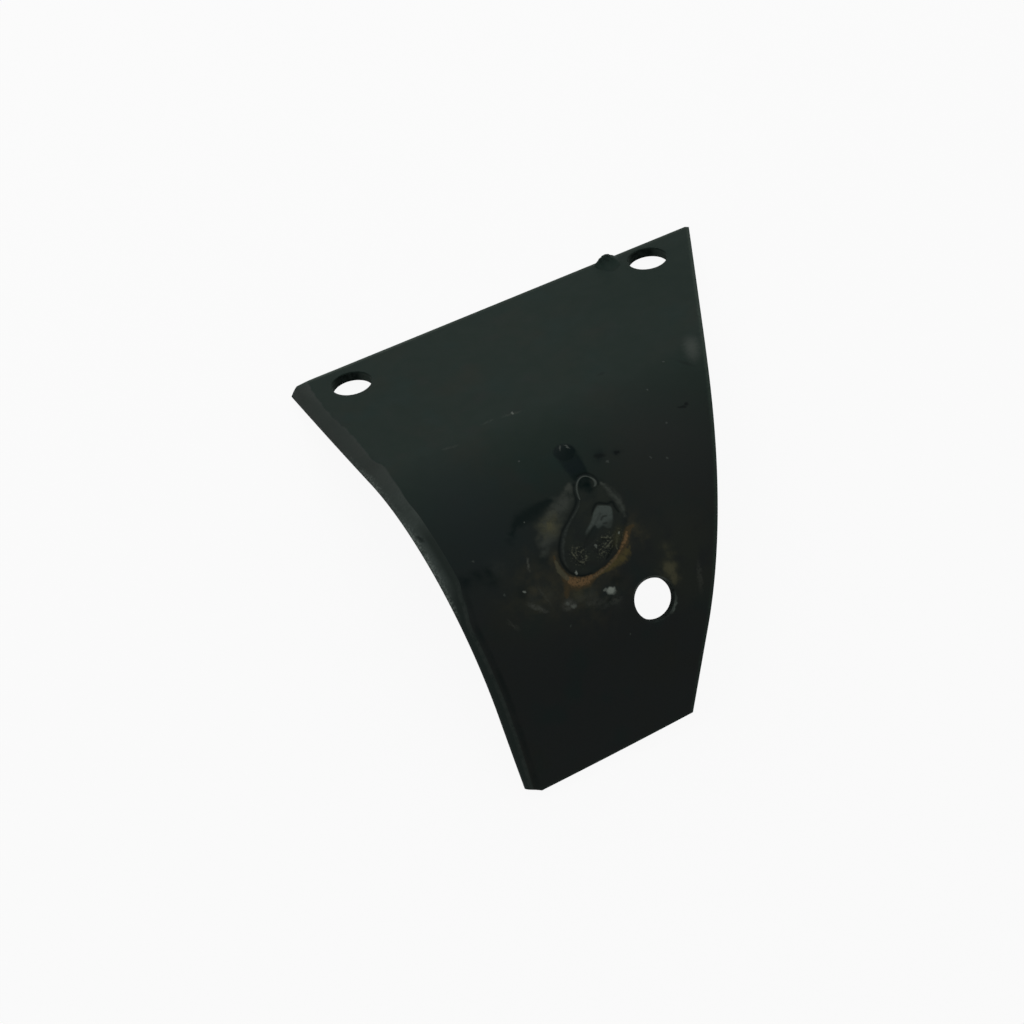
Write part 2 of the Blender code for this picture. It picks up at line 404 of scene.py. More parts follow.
SKIN = drawn(
    (67.1, 124.3), (68.8, 124.9), (71.1, 126.1), (71.5, 127.3), (70.8, 129.4), (69.6, 131.8),
    (68.1, 133.6), (66.6, 133.3), (65.6, 131.9), (64.0, 132.2), (63.2, 131.6), (63.3, 130.8),
    (62.6, 130.6), (61.2, 131.2), (59.7, 132.0), (58.4, 132.5), (58.8, 131.4), (60.7, 130.0),
    (62.8, 128.2), (64.7, 126.0), (67.1, 124.3))
PALE_TIP = drawn((44.1, 136.4, 0.3), (43.9, 138.2, 0.7), (44.0, 140.2, 0.9), (44.5, 142.2, 1.0),
                 (45.4, 144.0, 0.6))
PALE_ARM = drawn((53.3, 147.6, 0.5), (56.3, 146.9, 0.6), (59.4, 146.2, 0.6), (62.8, 145.1, 0.6),
                 (66.0, 143.3, 0.5))
BUBBLES = (
    drawn((66.1, 138.1, 0.31), (63.7, 139.3, 0.42), (60.7, 140.8, 0.35)),
    drawn((65.0, 137.4, 0.25), (62.3, 138.7, 0.28), (60.0, 139.7, 0.25)),
    drawn((63.1, 135.4, 0.28), (65.1, 136.4, 0.38), (67.2, 137.1, 0.33)),
    drawn((70.0, 136.6, 0.45), (68.5, 138.1, 0.42), (67.1, 139.9, 0.38), (66.7, 141.7, 0.28)),
    drawn((51.8, 134.7, 0.38), (50.9, 136.3, 0.34), (51.1, 137.9, 0.34), (51.7, 139.7, 0.42),
          (53.0, 141.1, 0.45), (54.6, 140.6, 0.38), (55.3, 139.3, 0.28)),
    drawn((53.6, 135.2, 0.3), (52.3, 136.4, 0.34), (52.1, 138.0, 0.28)),
    drawn((55.0, 137.0, 0.42), (53.9, 137.5, 0.38)),
)
DRIP_HEAD = Vector((66.9, 99.8))
DRIP_HEAD_REACH = 4.1
DRIP_TAIL = drawn((67.1, 100.3, 3.9), (67.0, 104.3, 3.75), (67.1, 107.2, 3.45), (67.1, 109.8, 3.35),
                  (67.2, 112.4, 2.75))
SMEAR = drawn((52.4, 115.6, 1.0), (49.4, 115.9, 2.0), (45.3, 116.7, 2.6), (41.3, 117.4, 2.6),
              (38.1, 118.1, 2.0), (35.3, 120.1, 1.0), (32.2, 123.7, 0.6))


def inside(place, border):
    """True if a place lies within a closed border."""
    crossings = 0
    for first, second in zip(border.points, border.points[1:]):
        if (first.y > place.y) != (second.y > place.y):
            share = (place.y - first.y) / (second.y - first.y)
            crossings += place.x < first.x + (second.x - first.x) * share
    return crossings % 2 == 1


def run_depth(place):
    """Distance into the run from its border, negative outside it."""
    gap = min(beside(place, RUN_BORDER)[0], RUN_FAR)
    return gap if gap < RUN_FAR and inside(place, RUN_BORDER) else -gap


print("points round the run:", len(RUN_BORDER.points))

# %% [markdown]
# ## How high each form stands
# All the forms are added up to one height over the plate, each a fraction of a millimetre. A
# displacement picture could hold them too, but a formula stays sharp and can be read.

# %% Height of the relief
THREADS = ((HOOK, 0.26), (LEFT_FLANK, 0.16), (RIGHT_FLANK, 0.1), (RIGHT_INNER, 0.06))
CREASES = (FLANK_CREASE, HOOK_CREASE, SKIN_CREASE, RUN_SEAM)
CHIP = Vector((58.5, 154.4))
RUN_LOW = Vector((28, 88))
RUN_HIGH = Vector((92, 165))
RUN_HEIGHT = 0.2
SKIN_HEIGHT = 0.07
BUBBLE_HEIGHT = 0.17
CREASE_DEPTH = 0.06
DRIP_HEIGHT = 0.12
DRIP_REACH = 2.8
SMEAR_HEIGHT = 0.06
CHIP_HEIGHT = 0.2
CHIP_REACH = 1.6


def within(place, low, high):
    """True for a place inside an upright box."""
    return low.x <= place.x <= high.x and low.y <= place.y <= high.y


def wander(place, size, seed=0.0):
    """Smooth noise between -1 and 1, with forms of about this size."""
    return noise.noise(Vector((place.x / size, place.y / size, seed)))


def skin_depth(place):
    """Strength of the wrinkled skin on the run."""
    gap = beside(place, SKIN)[0]
    return 0 if gap == FAR else smooth_step(gap if inside(place, SKIN) else -gap, -0.3, 0.4)


def relief(place):
    """Height of the outer face over the plate, in millimetres."""
    height = 0.035 * wander(place, 19) + 0.015 * wander(place, 5, 3.0)
    if not within(place, RUN_LOW, RUN_HIGH):
        return height
    depth = run_depth(place)
    rough = wander(place, 1.6, 5.0)
    height += RUN_HEIGHT * smooth_step(depth, -0.2, 1.8)
    height += sum(tall * ridge(place, line) for line, tall in THREADS)
    if depth > -1:
        height += SKIN_HEIGHT * skin_depth(place)
        height += BUBBLE_HEIGHT * max(ridge(place, line) for line in BUBBLES)
        height -= CREASE_DEPTH * max(ridge(place, line) for line in CREASES)
    if depth > 0.5:
        height += 0.03 * rough + 0.04 * wander(place, 3.4, 8.0)
    height += DRIP_HEIGHT * ribbon(place, DRIP_TAIL, 0.3)
    height += DRIP_HEIGHT * hump((place - DRIP_HEAD).length, DRIP_REACH)
    height += SMEAR_HEIGHT * ribbon(place, SMEAR, 0.5)
    height += CHIP_HEIGHT * smooth_step(CHIP_REACH - (place - CHIP).length + 0.5 * rough, 0, 0.8)
    return height


print("height at the drip's head, mm:", round(relief(DRIP_HEAD), 2))

# %% [markdown]
# ## Marks on the outer face
# Paint that ran stayed wet and dark. Rust crept out from under the run's foot, brown at its rim and
# orange where it is fresh, and pale dust dried beside it. Some marks are painted light: painted shade
# in the run's creases, along its border and in the hollow of its hook, and painted highlights on its
# threads, its skin and the crumbs of its bubbles. Each kind of mark gets its own strength from 0 to 1
# at every point, from the same drawn lines, and the paint reads them as attributes. So do a few broad
# hazes, where handling and weather have changed the paint's tint.

# %% Lines and spots of the marks
RUST_LINE = drawn(
    (44.3, 134.8, 0.3), (43.9, 136.9, 0.6), (44.1, 139.3, 0.9), (44.7, 141.9, 1.25),
    (45.4, 144.5, 1.95), (47.0, 146.4, 2.4), (49.5, 147.2, 2.35), (52.2, 147.6, 1.95),
    (54.7, 147.3, 1.25), (57.0, 146.7, 0.9), (59.5, 146.1, 0.86), (62.3, 145.4, 0.98),
    (64.9, 144.3, 0.8), (67.4, 142.9, 0.9), (69.8, 141.0, 1.3), (71.2, 139.0, 1.5),
    (72.8, 137.4, 1.3), (74.4, 136.4, 0.9), (75.7, 136.0, 0.4))
RUST_FOOT = drawn((45.5, 145.0, 1.9), (44.6, 146.2, 1.6), (43.6, 148.1, 1.2), (42.4, 150.3, 0.6))
RUST_CORE = drawn(
    (45.3, 143.7, 0.5), (46.8, 145.9, 1.6), (49.6, 146.9, 1.7), (52.7, 147.2, 1.3),
    (55.7, 146.9, 0.7), (59.6, 146.0, 0.4), (63.6, 144.7, 0.4), (67.7, 142.1, 0.4),
    (70.6, 139.8, 0.6), (72.6, 137.4, 0.5))
OCHRE_LINE = drawn((57.2, 147.0, 0.5), (58.9, 147.1, 0.5), (61.5, 146.8, 0.9), (64.4, 145.8, 1.5),
                   (67.0, 145.2, 2.1), (69.4, 144.3, 1.6), (71.3, 142.6, 0.7))
PALE_BAND = drawn((41.5, 132.3, 1.5), (44.1, 129.2, 2.4), (48.0, 124.4, 3.2), (53.6, 119.6, 3.0),
                  (59.0, 116.2, 2.2), (62.0, 112.5, 1.0))
BROWN_SPOTS = (((49, 152), 8, 0.8), ((34, 144), 8, 0.9), ((41, 149), 7, 0.7), ((60, 152), 7, 0.45),
               ((76.5, 139.5), 3.6, 0.9), ((50, 159), 7, 0.35), ((33.5, 131), 3, 0.3),
               ((63, 148.8), 2.6, 0.9), ((76, 133), 4, 0.5), ((24, 146), 6, 0.3))
STAIN_SPOTS = (((47.6, 124.4), 3.2, 0.9), ((50.0, 121.8), 2.2, 0.45), ((45.0, 126.6), 2.0, 0.4),
               ((82.0, 155.3), 2.4, 0.85), ((82.6, 159.0), 2.0, 0.75), ((83.8, 147.3), 1.8, 0.35),
               ((84.0, 151.0), 1.6, 0.4), ((47.0, 150.8), 2.6, 0.35), ((51.5, 149.3), 1.6, 0.5))
DUST_SPOTS = (((31, 145), 3.0, 0.35), ((36, 147), 3.4, 0.35), ((52, 152.6), 1.8, 0.5),
              ((59.5, 158.6), 2.2, 0.3), ((24, 131), 3.0, 0.25))
# The last three spots are painted shade in the hollow of the hook; the rest are wet paint.
WET_AND_SHADE_SPOTS = (((10.4, 130.9), 2.4, 0.65), ((15.8, 130.9), 2.2, 0.6), ((20.1, 130.7), 1.5, 0.7),
             ((20.0, 134.2), 2.2, 0.5), ((77.5, 106.6), 2.2, 0.45), ((83.6, 108.4), 1.6, 0.45),
             ((62.4, 151.3), 2.2, 0.4), ((40.0, 133.5), 2.6, 0.25), ((28.6, 142.4), 2.2, 0.5),
             ((67.7, 115.4), 2.3, 1.0), ((67.9, 117.4), 1.3, 0.8), ((65.4, 114.9), 1.4, 0.8))
MARKS = ("rust", "fresh", "ochre", "pale", "brown", "stain", "dust", "wet_and_shade",
         "crease_shade", "thread_highlight", "crumb_glint", "skin")
MARKS_LOW = Vector((5, 88))
MARKS_HIGH = Vector((100, 172))
HAZES = (
    ("faded", (((104, 112), (20, 28), 0.7),)),
    ("teal", (((144, 24), (30, 20), 1.0), ((118, 70), (22, 26), 0.6))),
    ("hazy", (((24, 112), (16, 26), 0.6),)),
    ("olive", (((89, 154), (12, 17), 0.9), ((33, 147), (16, 13), 0.5))),
)
print("kinds of mark:", ", ".join(MARKS))

# %% [markdown]
# ## Strength of the marks
# Noise tears the border of each line and shakes each spot a little, since real stains never end in
# a clean curve. Where two forms of a kind meet, the stronger one counts, so nothing adds up twice.

# %% Strength of each mark
def hazes_at(place):
    """Strength of each broad haze at a place on the outer face, in millimetres."""
    strengths = []
    for name, ovals in HAZES:
        shares = []
        for (across, down), (wide, tall), top in ovals:
            away = sqrt(((place.x - across) / wide) ** 2 + ((place.y - down) / tall) ** 2)
            shares.append(top * (1 - smooth_step(away, 0.05, 1.95)))
        strengths.append(max(shares))
    return strengths


def spots_at(place, spots):
    """The strongest of several soft round spots at a place."""
    return max(top * hump((place - Vector(centre)).length, size) for centre, size, top in spots)


def marks_at(place):
    """Strength of each mark at a place on the outer face, in millimetres."""
    if not within(place, MARKS_LOW, MARKS_HIGH):
        return [0] * len(MARKS)
    depth = run_depth(place)
    rough = wander(place, 2.2, 9.0)
    fine = wander(place, 0.9, 2.0)
    broad = wander(place, 6, 4.0)
    outside = smooth_step(-depth, -0.6, 0.1)
    rust_gap, rust_width = beside(place, RUST_LINE)
    shaken = place + Vector((1.5 * rough, 1.5 * broad))
    torn = 0.4 * rough + 0.35 * fine
    rust = max(ribbon(place, RUST_LINE, 0.65, torn), 0.8 * ribbon(place, RUST_FOOT, 0.9, torn)) * outside
    fresh = ribbon(place, RUST_CORE, 0.6, torn) * outside
    ochre = 0.8 * ribbon(place, OCHRE_LINE, 0.95, torn) * outside
    pale = max(ribbon(place, PALE_TIP, 0.6, torn), 0.55 * ribbon(place, PALE_ARM, 0.9, torn)) * outside
    brown = spots_at(place + Vector((3 * broad, 3 * rough)), BROWN_SPOTS)
    brown = max(brown, 0.9 * hump(max(rust_gap - rust_width, 0), 2.2)) * outside
    stain = spots_at(shaken, STAIN_SPOTS) * outside
    dust = max(ribbon(shaken, PALE_BAND, 0.8) * outside, spots_at(shaken, DUST_SPOTS))
    dust = max(dust, 1.1 * ribbon(place, RIGHT_FLANK, 0.95, torn))
    wet_and_shade = 0.78 * ribbon(place, DRIP_TAIL, 0.25, 0.3 * rough)
    head = (place - DRIP_HEAD).length + 0.2 * rough
    wet_and_shade = max(wet_and_shade, 1 - smooth_step(head, DRIP_HEAD_REACH - 0.6, DRIP_HEAD_REACH + 0.6))
    wet_and_shade = max(wet_and_shade, 0.65 * ribbon(place, SMEAR, 0.85, 0.7 * rough), spots_at(shaken, WET_AND_SHADE_SPOTS))
    # Painted shade: the creases and the run's border are darkened in colour.
    crease_shade = max(ridge(place, line) for line in CREASES)
    crease_shade = max(crease_shade, 0.5 * hump(depth, 0.5) * (0.6 + 0.6 * fine))
    # Painted highlight along the raised threads of the run.
    thread_highlight = max(ridge(place, HOOK), 0.5 * ridge(place, LEFT_FLANK) * (0.85 + 0.4 * fine))
    thread_highlight = max(thread_highlight, 0.45 * ridge(place, RIGHT_FLANK) * (0.8 + 0.8 * rough))
    thread_highlight = max(thread_highlight, 0.4 * ridge(place, RIGHT_INNER))
    # Crumbs of the burst bubbles, lightened as painted glints.
    crumb_glint = max(ridge(place, line) for line in BUBBLES) * min(max(0.75 + 1.2 * fine, 0), 1)
    # Painted sheen: the skin is lightened where it tilts towards the lamps.
    skin = skin_depth(place) * (1 - 0.85 * max(ridge(place, SKIN_CURL), ridge(place, SKIN_FOLD)))
    skin *= 1 - 0.65 * smooth_step(place.y + 0.8 * rough, 129.6, 132.8)
    marks = [rust, fresh, ochre, pale, brown, stain, dust, wet_and_shade, crease_shade, thread_highlight, crumb_glint, skin]
    return [min(max(mark, 0), 1) for mark in marks]


print("rust at its core:", round(marks_at(Vector((49.6, 146.9)))[0], 2))

# %% [markdown]
# ## The ground edge
# The cutting edge was ground by hand from the outer face, so the width of the grind wanders along
# it. The blank's left border steps in by that width at the outer face and not at all at the back,
# and the points near it move along, less and less, so that nothing folds.

# %% Width and belly of the grind
GRIND_STATIONS = (
    (0.00, 6.9), (0.04, 5.9), (0.095, 5.2), (0.134, 4.8), (0.165, 5.5), (0.21, 5.8), (0.256, 5.6),
    (0.3, 5.05), (0.328, 6.6), (0.386, 5.7), (0.43, 5.2), (0.474, 5.8), (0.54, 5.85),
    (0.606, 6.0), (0.64, 4.5), (0.69, 2.9), (0.74, 3.15), (0.79, 3.4), (0.84, 3.55), (0.89, 3.5),
    (0.946, 3.1), (1.0, 2.5))
BELLY = ((0.00, 1.00), (0.12, 0.8), (0.25, 0.58), (0.4, 0.38), (0.55, 0.22), (0.7, 0.09),
         (0.85, 0.00), (1.00, 0.00))
TOP_BELLY = ((0.00, 1.00), (0.12, 0.43), (0.25, 0.34), (0.4, 0.26), (0.55, 0.18), (0.7, 0.12),
             (0.85, 0.06), (1.00, 0.00))
TOP_BELLY_END = 0.1
GRIND_EASE = 1.25
GRIND_REACH = 3 * MM


def straight_step(value, low, high):
    """Rises from 0 to 1 between two values, on a straight line."""
    return (value - low) / (high - low)


def between(stations, share, step=smooth_step):
    """Value at a share, in steps of one kind between the stations."""
    for (first, low), (second, high) in zip(stations, stations[1:]):
        if share <= second:
            return low + (high - low) * step(share, first, second)
    return stations[-1][1]


def share_and_gap(place, start, finish):
    """Share along a side of the blank, and the distance from it."""
    along = finish - start
    share = (place - start).dot(along) / along.length_squared
    return min(max(share, 0), 1), (place - start - along * share).length


def grind_push(place, depth):
    """How far a point moves across for the grind and for the bow of the cutting edge."""
    share, gap = share_and_gap(place, edge_top, edge_foot)
    width = between(GRIND_STATIONS, share) * MM
    top = 1 - smooth_step(share, 0, TOP_BELLY_END)
    profile = between(BELLY, depth / PLATE, straight_step) * (1 - top)
    profile += between(TOP_BELLY, depth / PLATE, straight_step) * top
    push = width * profile - EDGE_BOW * bow(share)
    reach = GRIND_EASE * width + GRIND_REACH
    return push * max(1 - gap / reach, 0)


print("grind at its widest, mm:", max(width for share, width in GRIND_STATIONS))

# %% [markdown]
# ## Shaping and bending
# Every point now moves once: it is pushed along for the grind and for the slight bows of the other
# sides, sinks where a rim is rounded, rises with the relief, and is laid on the bend. Its place on
# the flat blank is kept as an attribute, because the paint is drawn on the blank as well.

# %% Shape every point
BOW_REACH = 0.01
BORE_REACH = 4 * MM
TOUCH_SHARE = 0.01


def rolled(gap, round_size):
    """How far a rounded rim has sunk at this distance in from it."""
    lean = min(max((round_size - gap) / round_size, 0), 1)
    return round_size * (1 - sqrt(1 - lean * lean))


def outline_drop(place):
    """How far a face sinks at the outline of the blank, away from the ground edge."""
    gaps = [share_and_gap(place, first, second)[1]
            for first, second in zip(corners[1:], corners[2:] + corners[:1])]
    return rolled(min(gaps), RIM_ROUND)


def hole_drop(place):
    """The same at the rims of the bolt holes."""
    return max(rolled((place - centre).length - HOLE_RADIUS, rim) for centre, rim in HOLE_RIMS)


def side_bows(place):
    """Shift of a point for the slight bows of the tip and of the tapering side."""
    tip_share, tip_gap = share_and_gap(place, tip_start, tip_end)
    side_share, side_gap = share_and_gap(place, tip_end, side_top)
    down = TIP_BOW * bow(tip_share) * max(1 - tip_gap / BOW_REACH, 0)
    across = SIDE_BOW * bow(side_share) * max(1 - side_gap / BOW_REACH, 0)
    return Vector((across, down))


def straight_bore(place, depth):
    """Widens the low hole down the blank as it goes deeper, so that its bore stays straight."""
    gap = (place - LOW_HOLE).length
    hold = max(1 - max(gap - HOLE_RADIUS, 0) / BORE_REACH, 0)
    stretch = BEND_RADIUS / (BEND_RADIUS - depth) - 1
    return Vector((0, (place.y - LOW_HOLE.y) * stretch * hold))


places = plate.verts.layers.float_vector.new("blank")
lip = plate.verts.layers.float.new("lip")
rim_share = plate.verts.layers.float.new("rim")
run_layer = plate.verts.layers.float.new("run")
mark_layers = [plate.verts.layers.float.new(name) for name in MARKS]
haze_layers = [plate.verts.layers.float.new(name) for name, ovals in HAZES]


def grind_border(share):
    """How far across the blank the outer face starts, at this share of the cutting edge."""
    return edge_foot.x * share - EDGE_BOW * bow(share) + between(GRIND_STATIONS, share) * MM


for vert in plate.verts:
    place = Vector((vert.co.x, -vert.co.y))
    depth = -vert.co.z
    edge_share, edge_gap = share_and_gap(place, edge_top, edge_foot)
    at_outline = outline_drop(place)
    sunk = max(hole_drop(place), at_outline)
    on_face = depth < MM * TOUCH_SHARE
    on_back = depth > PLATE - MM * TOUCH_SHARE
    on_grind = edge_gap < RIM_ROUND * TOUCH_SHARE
    shifted = place + side_bows(place) + straight_bore(place, depth)
    shifted.x += grind_push(place, depth)
    height = 0
    if on_face:
        height = -sunk
    elif on_back:
        height = at_outline / 2
    if on_face and sunk < MM * TOUCH_SHARE and not on_grind:
        height += relief(shifted / MM) * MM
    level = depth - height
    vert[lip] = (shifted.x - grind_border(edge_share)) / MM
    vert[rim_share] = min(sunk / RIM_ROUND, 1)
    vert[run_layer] = -RUN_FAR
    if on_face:
        strengths = marks_at(shifted / MM) + hazes_at(shifted / MM)
        for layer, strength in zip(mark_layers + haze_layers, strengths):
            vert[layer] = strength
        if within(shifted / MM, RUN_LOW, RUN_HIGH):
            vert[run_layer] = run_depth(shifted / MM)
    vert[places] = (shifted.x / MM, shifted.y / MM, level / MM)
    vert.co = on_blade(shifted.x, shifted.y, level)
bmesh.ops.recalc_face_normals(plate, faces=plate.faces[:])
print("points shaped:", len(plate.verts))

# %% [markdown]
# ## Bead of spatter
# A blunt bead of hardened paint sits over the rim of the wide end, beside the right hole. A sphere
# is squashed, roughened with noise, spread thin at its foot and sunk into the rim.

# %% Spatter bead
BEAD_PLACE = Vector((0.1368, 0.0008))
BEAD_HALF = Vector((0.0037, 0.0022, 0.0038))
BEAD_ROOT = 0.0006
BEAD_APRON = 5.0
BEAD_FLARE = 1.7
BEAD_LUMP = 0.22
BEAD_NOISE_SCALE = 1.9
BEAD_NOISE_SHIFT = Vector((4, 2, 7))
AWAY_FROM_GRIND = 9

bead = bmesh.ops.create_uvsphere(plate, u_segments=40, v_segments=24, radius=1)["verts"]
for vert in bead:
    lump = 1 - BEAD_LUMP * abs(noise.noise(vert.co * BEAD_NOISE_SCALE + BEAD_NOISE_SHIFT))
    vert.co = Vector([value * half for value, half in zip(vert.co * lump, BEAD_HALF)])
    low = (1 - max(vert.co.z / BEAD_HALF.z, 0)) ** 2
    apron = 1 + (BEAD_APRON - 1) * low if vert.co.y < 0 else 1
    flare = 1 + (BEAD_FLARE - 1) * low
    spot = Vector((BEAD_PLACE.x + vert.co.x * flare, BEAD_PLACE.y - vert.co.y * apron))
    level = BEAD_ROOT - vert.co.z
    vert[places] = (spot.x / MM, spot.y / MM, level / MM)
    vert[lip] = AWAY_FROM_GRIND
    vert.co = on_blade(spot.x, spot.y, level)
print("points in the bead:", len(bead))

# %% [markdown]
# ## The finished mesh
# The mesh becomes an object that stands for the frame's plain blade and moves with it. Shading is
# smooth, except over edges sharper than the rounded rims.

# %% Blade object
SHARP_ANGLE = radians(50)


def placed(name, data):
    """An object for some data, put into the scene at the origin."""
    thing = bpy.data.objects.new(name, data)
    scene.collection.objects.link(thing)
    return thing


bead_faces = {face for vert in bead for face in vert.link_faces}
bmesh.ops.recalc_face_normals(plate, faces=list(bead_faces))
blade_mesh = bpy.data.meshes.new("tiller_blade")
plate.to_mesh(blade_mesh)
plate.free()
blade_mesh.shade_smooth()
blade_mesh.set_sharp_from_angle(angle=SHARP_ANGLE)
blade = placed("tiller_blade", blade_mesh)
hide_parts("blade")
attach(blade, "root")
blade_mesh.calc_loop_triangles()
print("triangles in the blade:", len(blade_mesh.loop_triangles))

# %% [markdown]
# ## Writing shader maths
# A finish is mostly masks: where it is dusty, rusty, wet or scraped. Node by node they are hard to
# follow, so a small class lets masks be written as sums, and one method adds any other node.

# %% Sums of masks
class Mask:
    """One output of a node, which can be used in a sum."""

    def __init__(self, tree, socket=None):
        self.tree = tree
        self.socket = socket

    def node(self, kind, settings, values, output=0):
        """Adds a shader node: its settings first, then the values or links of its sockets."""
        made = self.tree.nodes.new("ShaderNode" + kind)
        for name, value in settings.items():
            setattr(made, name, value)
        for name, value in values.items():
            if isinstance(value, Mask):
                self.tree.links.new(value.socket, made.inputs[name])
            else:
                made.inputs[name].default_value = value
        return Mask(self.tree, made.outputs[output])

    def maths(self, operation, first, second):
        """One Math node on two values."""
        return self.node("Math", {"operation": operation}, {0: first, 1: second})

    def __add__(self, other):
        return self.maths("ADD", self, other)

    def __sub__(self, other):
        return self.maths("SUBTRACT", self, other)

    def __rsub__(self, other):
        return self.maths("SUBTRACT", other, self)

    def __mul__(self, other):
        return self.maths("MULTIPLY", self, other)

    __radd__ = __add__
    __rmul__ = __mul__


print("a mask can be added, taken away and multiplied")

# %% [markdown]
# ## Tools for the paint
# Every mark in the paint is an oval, a cloud or a distance on the flat blank, so it follows the
# bend and stays where it is drawn. A few small functions make these masks, and one class keeps the
# colour while tints are laid over it.

# %% Helpers for masks
paint = bpy.data.materials.new("dark_dipped_paint")
paint.use_nodes = True
tree = paint.node_tree
shader = tree.nodes["Principled BSDF"]
node = Mask(tree).node
maths = Mask(tree).maths


def attribute(name, output="Fac"):
    """A value kept at the points of the mesh."""
    return node("Attribute", {"attribute_name": name}, {}, output)


place = attribute("blank", "Vector")
across, down, deep = [node("SeparateXYZ", {}, {0: place}, axis) for axis in "XYZ"]


def cloud(size, detail=2.0, shift=0.0, roughness=0.5):
    """Noise from 0 to 1 with forms of about this size in millimetres."""
    values = {"Vector": place, "Location": (shift, shift, 0)}
    moved = node("Mapping", {"vector_type": "POINT"}, values, "Vector")
    values = {"Vector": moved, "Scale": 1 / size, "Detail": detail, "Roughness": roughness}
    return node("TexNoise", {"noise_dimensions": "3D"}, values, "Fac")


def ramp(value, low, high, first, last):
    """A mask that goes smoothly from its first strength to its last between two values."""
    values = {"Value": value, "From Min": low, "From Max": high, "To Min": first, "To Max": last}
    return node("MapRange", {"interpolation_type": "SMOOTHSTEP"}, values)


def rise(value, low, high, top=1.0):
    """A mask that rises from 0 to its top between two values."""
    return ramp(value, low, high, 0.0, top)


def fall(value, low, high, top=1.0):
    """A mask that falls from its top to 0 between two values."""
    return ramp(value, low, high, top, 0.0)


class Coat:
    """A colour that tints are laid over, each through a mask."""

    def __init__(self, tint):
        self.colour = (*tint, 1)

    def lay(self, tint, mask):
        """Lays one more tint over what is there."""
        values = {0: mask, 6: self.colour, 7: (*tint, 1)}
        self.colour = node("Mix", {"data_type": "RGBA"}, values, 2)


def spot(across, down, half, half_down=None, turn=0.0, top=1.0, soft=0.5):
    """A small oval mark on the blank, in millimetres."""
    size = (half, half_down or half, 30)
    values = {"Vector": shaken, "Location": (across, down, 0), "Rotation": (0, 0, radians(turn)),
              "Scale": size}
    local = node("Mapping", {"vector_type": "TEXTURE"}, values, "Vector")
    gap = node("VectorMath", {"operation": "LENGTH"}, {0: local}, "Value")
    return fall(gap, 1 - soft, 1 + soft, top)


def from_side(first, second):
    """Distance from one straight side of the blank, in millimetres."""
    along = (second - first).normalized()
    return (down - first.y / MM) * -along.x + (across - first.x / MM) * along.y


def most(*masks):
    """The strongest of several masks."""
    strongest = masks[0]
    for mask in masks[1:]:
        strongest = maths("MAXIMUM", strongest, mask)
    return strongest


def spots(*ovals):
    """Several small oval marks together."""
    return most(*[spot(*oval) for oval in ovals])


values = {"Vector": place, "Scale": 0.7}
shake = node("TexNoise", {"noise_dimensions": "3D"}, values, "Color")
shake = node("VectorMath", {"operation": "SUBTRACT"}, {0: shake, 1: (0.5, 0.5, 0.5)})
shake = node("VectorMath", {"operation": "SCALE"}, {0: shake, "Scale": 1.7})
shaken = node("VectorMath", {"operation": "ADD"}, {0: place, 1: shake})
outer = fall(deep, 0.3, 0.9)
back = rise(deep, 3.5, 3.95)
print("paint nodes so far:", len(tree.nodes))

# %% [markdown]
# ## Tint of the paint
# The paint is a dark, slightly green black. Towards the tip it is greyer, and also painted lighter as
# painted light that offsets the shade of the bend. Dust and handling have dulled it unevenly. Clouds
# of several sizes and the hazes from the mesh do that, because one noise alone looks like a pattern.

# %% Colour of the paint
coat = Coat((0.0128, 0.0228, 0.0182))
# Greyer towards the tip, and lighter there as painted light against the bend's shade.
coat.lay((0.0205, 0.0242, 0.0234), rise(down, 85, 150))
coat.lay((0.0215, 0.024, 0.018), rise(cloud(26, 3), 0.47, 0.72, 0.4))
coat.lay((0.0105, 0.0255, 0.023), rise(cloud(17, 2, 60), 0.52, 0.75, 0.4))
coat.lay((0.022, 0.021, 0.021), rise(cloud(12, 2, 130), 0.55, 0.75, 0.2))
dust_grain = rise(cloud(1.1, 4, 20, 0.65), 0.56, 0.8, 0.22)
coat.lay((0.033, 0.04, 0.034), dust_grain)
coat.lay((0.024, 0.027, 0.0255), attribute("faded"))
coat.lay((0.01, 0.02, 0.0155), attribute("teal"))
coat.lay((0.016, 0.0228, 0.0238), attribute("hazy"))
olive = attribute("olive") * rise(cloud(9, 3, 37), 0.25, 0.55)
coat.lay((0.0265, 0.0315, 0.0255), olive)
print("paint nodes with its clouds:", len(tree.nodes))

# %% [markdown]
# ## Rust, stains and the run
# The marks are laid over the paint in the order in which they came to lie there: brown tint, pale
# stains, wet dark paint with painted shade in the hook's hollow, then rust on top, with grain that
# breaks up its border. Last come painted shade in the creases and painted highlights on the skin, the
# threads and the crumbs.

# %% Colour of the marks
grit = cloud(0.8, 4, 33, 0.7)
brown = attribute("brown") * rise(cloud(4.5, 4, 15, 0.6), 0.3, 0.7)
coat.lay((0.05, 0.048, 0.032), brown)
wet_and_shade = attribute("wet_and_shade")
in_run = rise(attribute("run"), 0.6, 2.2)
coat.lay((0.0235, 0.029, 0.024), in_run * rise(cloud(5, 3, 71), 0.35, 0.65, 0.9))
dust = attribute("dust") * rise(cloud(3, 4, 44, 0.6), 0.2, 0.6)
coat.lay((0.054, 0.062, 0.053), dust)
stain = attribute("stain") * rise(cloud(3, 4, 81, 0.6), 0.22, 0.58)
coat.lay((0.095, 0.093, 0.054), stain)
